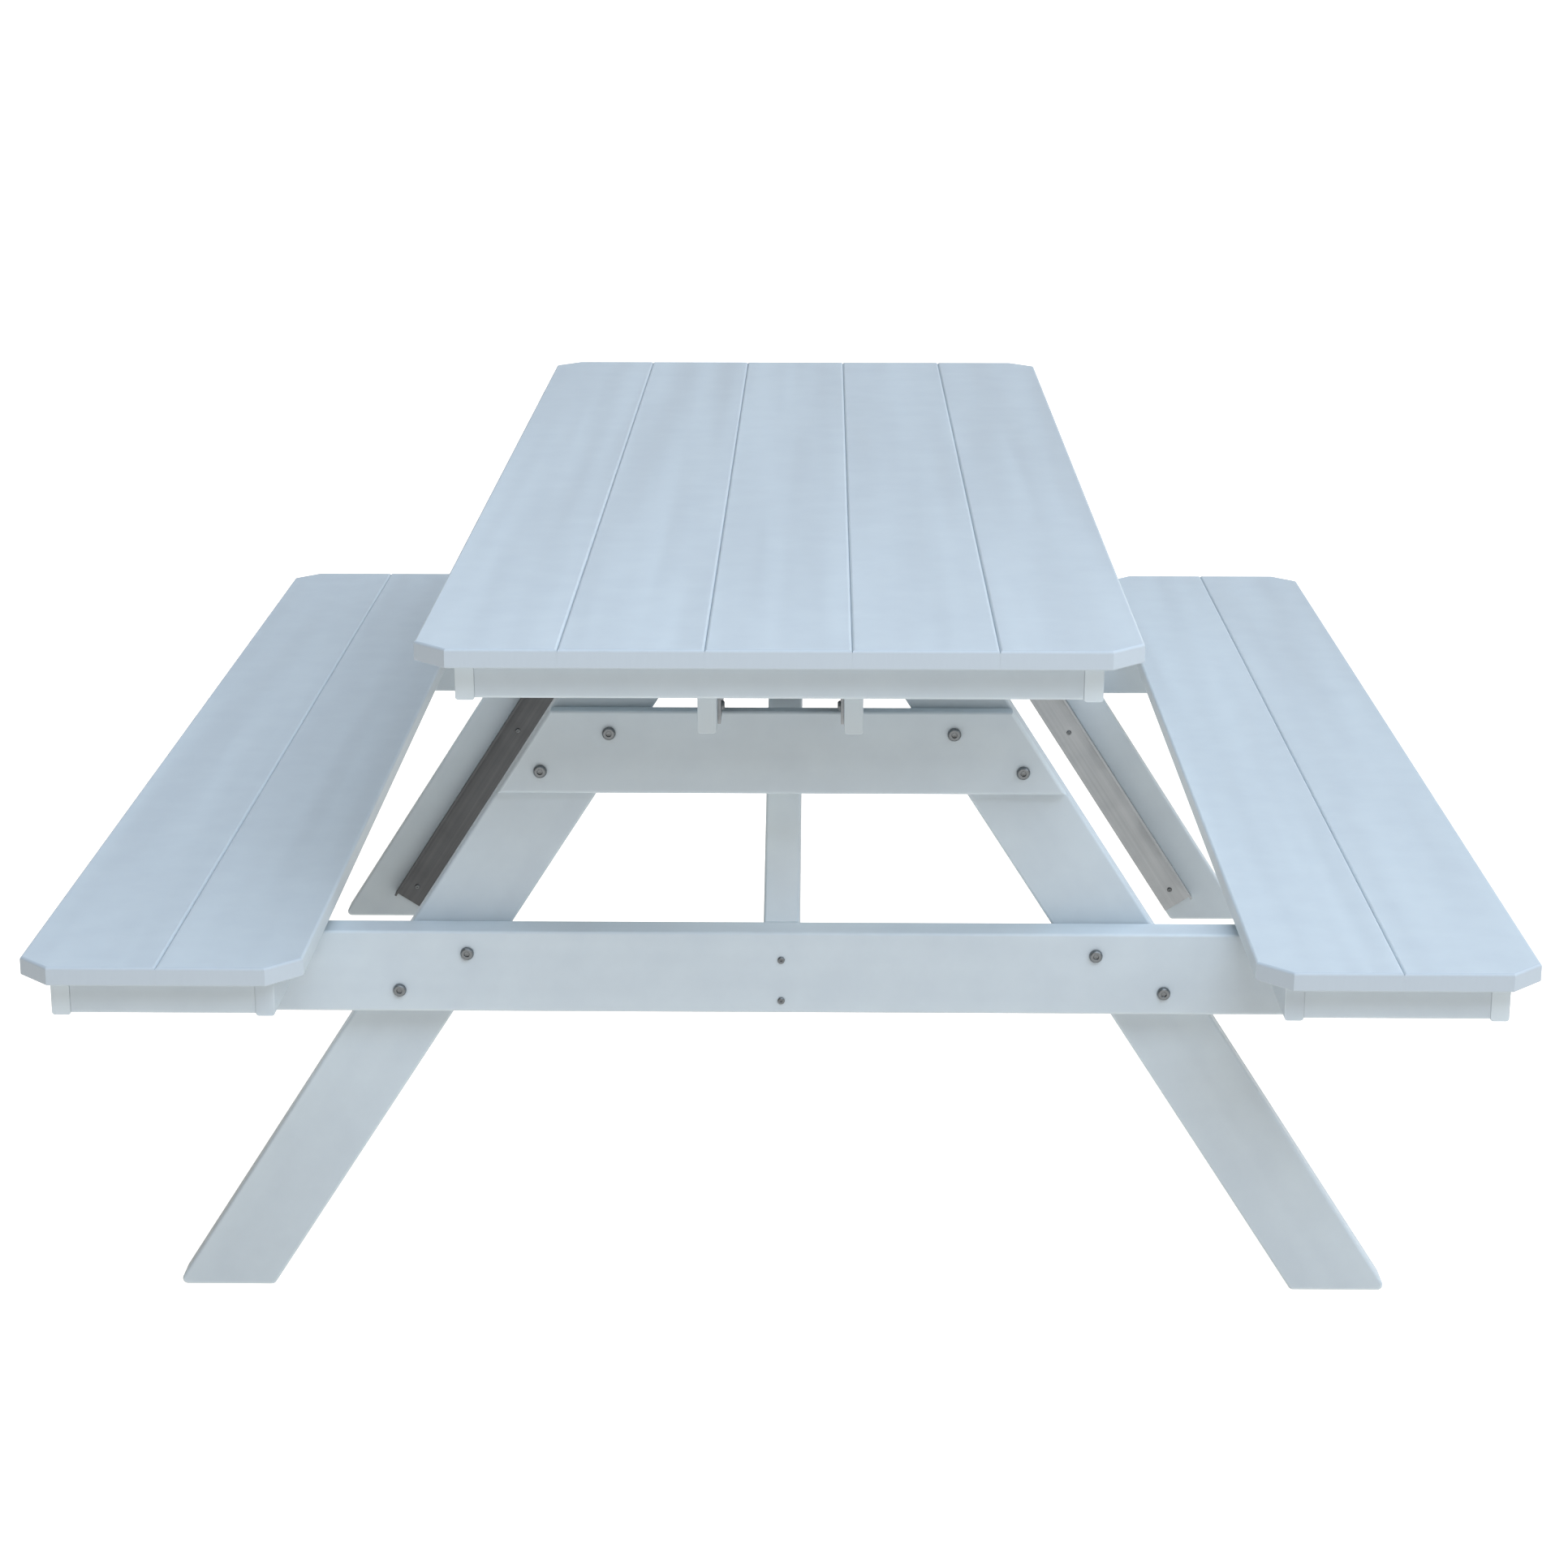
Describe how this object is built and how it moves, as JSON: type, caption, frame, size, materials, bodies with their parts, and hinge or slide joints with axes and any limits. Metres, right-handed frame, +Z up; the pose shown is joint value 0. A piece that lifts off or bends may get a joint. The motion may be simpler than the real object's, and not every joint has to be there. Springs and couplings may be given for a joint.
{
  "type": "picnic table",
  "caption": "Rigid A-frame picnic table of boards on edge and flat, with a slatted top and an attached slatted bench along each side, bolted together.",
  "frame": {"origin": "on the ground, under the middle of the table", "axes": "+X across the table to the right-hand bench, +Y along the boards, +Z up"},
  "size_m": [1.5074, 1.8288, 0.775],
  "materials": {
    "top_boards": "white HDPE poly lumber, satin, very finely pebbled",
    "frame_boards": "white HDPE poly lumber, satin",
    "stiffeners": "mill finish extrusion with drawn lines",
    "fasteners": "stainless steel"
  },
  "bodies": {
    "root": {"beam_bolt_nuts": "fasteners", "beam_bolt_washers": "fasteners", "brace_front": "frame_boards", "brace_rear": "frame_boards", "brace_screws": "fasteners", "cleat_screws": "fasteners", "left_bench_cleat_front": "frame_boards", "left_bench_cleat_middle": "frame_boards", "left_bench_cleat_rear": "frame_boards", "left_bench_end_rail_front": "frame_boards", "left_bench_end_rail_rear": "frame_boards", "left_bench_rail_inner": "frame_boards", "left_bench_rail_outer": "frame_boards", "left_bench_slat_inner": "top_boards", "left_bench_slat_outer": "top_boards", "leg_angle_front_left": "stiffeners", "leg_angle_front_right": "stiffeners", "leg_angle_rear_left": "stiffeners", "leg_angle_rear_right": "stiffeners", "leg_angle_screws": "fasteners", "leg_front_left": "frame_boards", "leg_front_right": "frame_boards", "leg_rear_left": "frame_boards", "leg_rear_right": "frame_boards", "lower_beam_bolts": "fasteners", "lower_beam_front": "frame_boards", "lower_beam_rear": "frame_boards", "right_bench_cleat_front": "frame_boards", "right_bench_cleat_middle": "frame_boards", "right_bench_cleat_rear": "frame_boards", "right_bench_end_rail_front": "frame_boards", "right_bench_end_rail_rear": "frame_boards", "right_bench_rail_inner": "frame_boards", "right_bench_rail_outer": "frame_boards", "right_bench_slat_inner": "top_boards", "right_bench_slat_outer": "top_boards", "slat_screws": "fasteners", "stringer_angle_left": "stiffeners", "stringer_angle_right": "stiffeners", "stringer_left": "frame_boards", "stringer_right": "frame_boards", "stringer_screws": "fasteners", "table_cleat_front": "frame_boards", "table_cleat_middle": "frame_boards", "table_cleat_rear": "frame_boards", "table_end_rail_front": "frame_boards", "table_end_rail_rear": "frame_boards", "table_side_rail_left": "frame_boards", "table_side_rail_right": "frame_boards", "table_slat_1": "top_boards", "table_slat_2": "top_boards", "table_slat_3": "top_boards", "table_slat_4": "top_boards", "table_slat_5": "top_boards", "upper_beam_bolts": "fasteners", "upper_beam_front": "frame_boards", "upper_beam_rear": "frame_boards"}
  },
  "joints": []
}
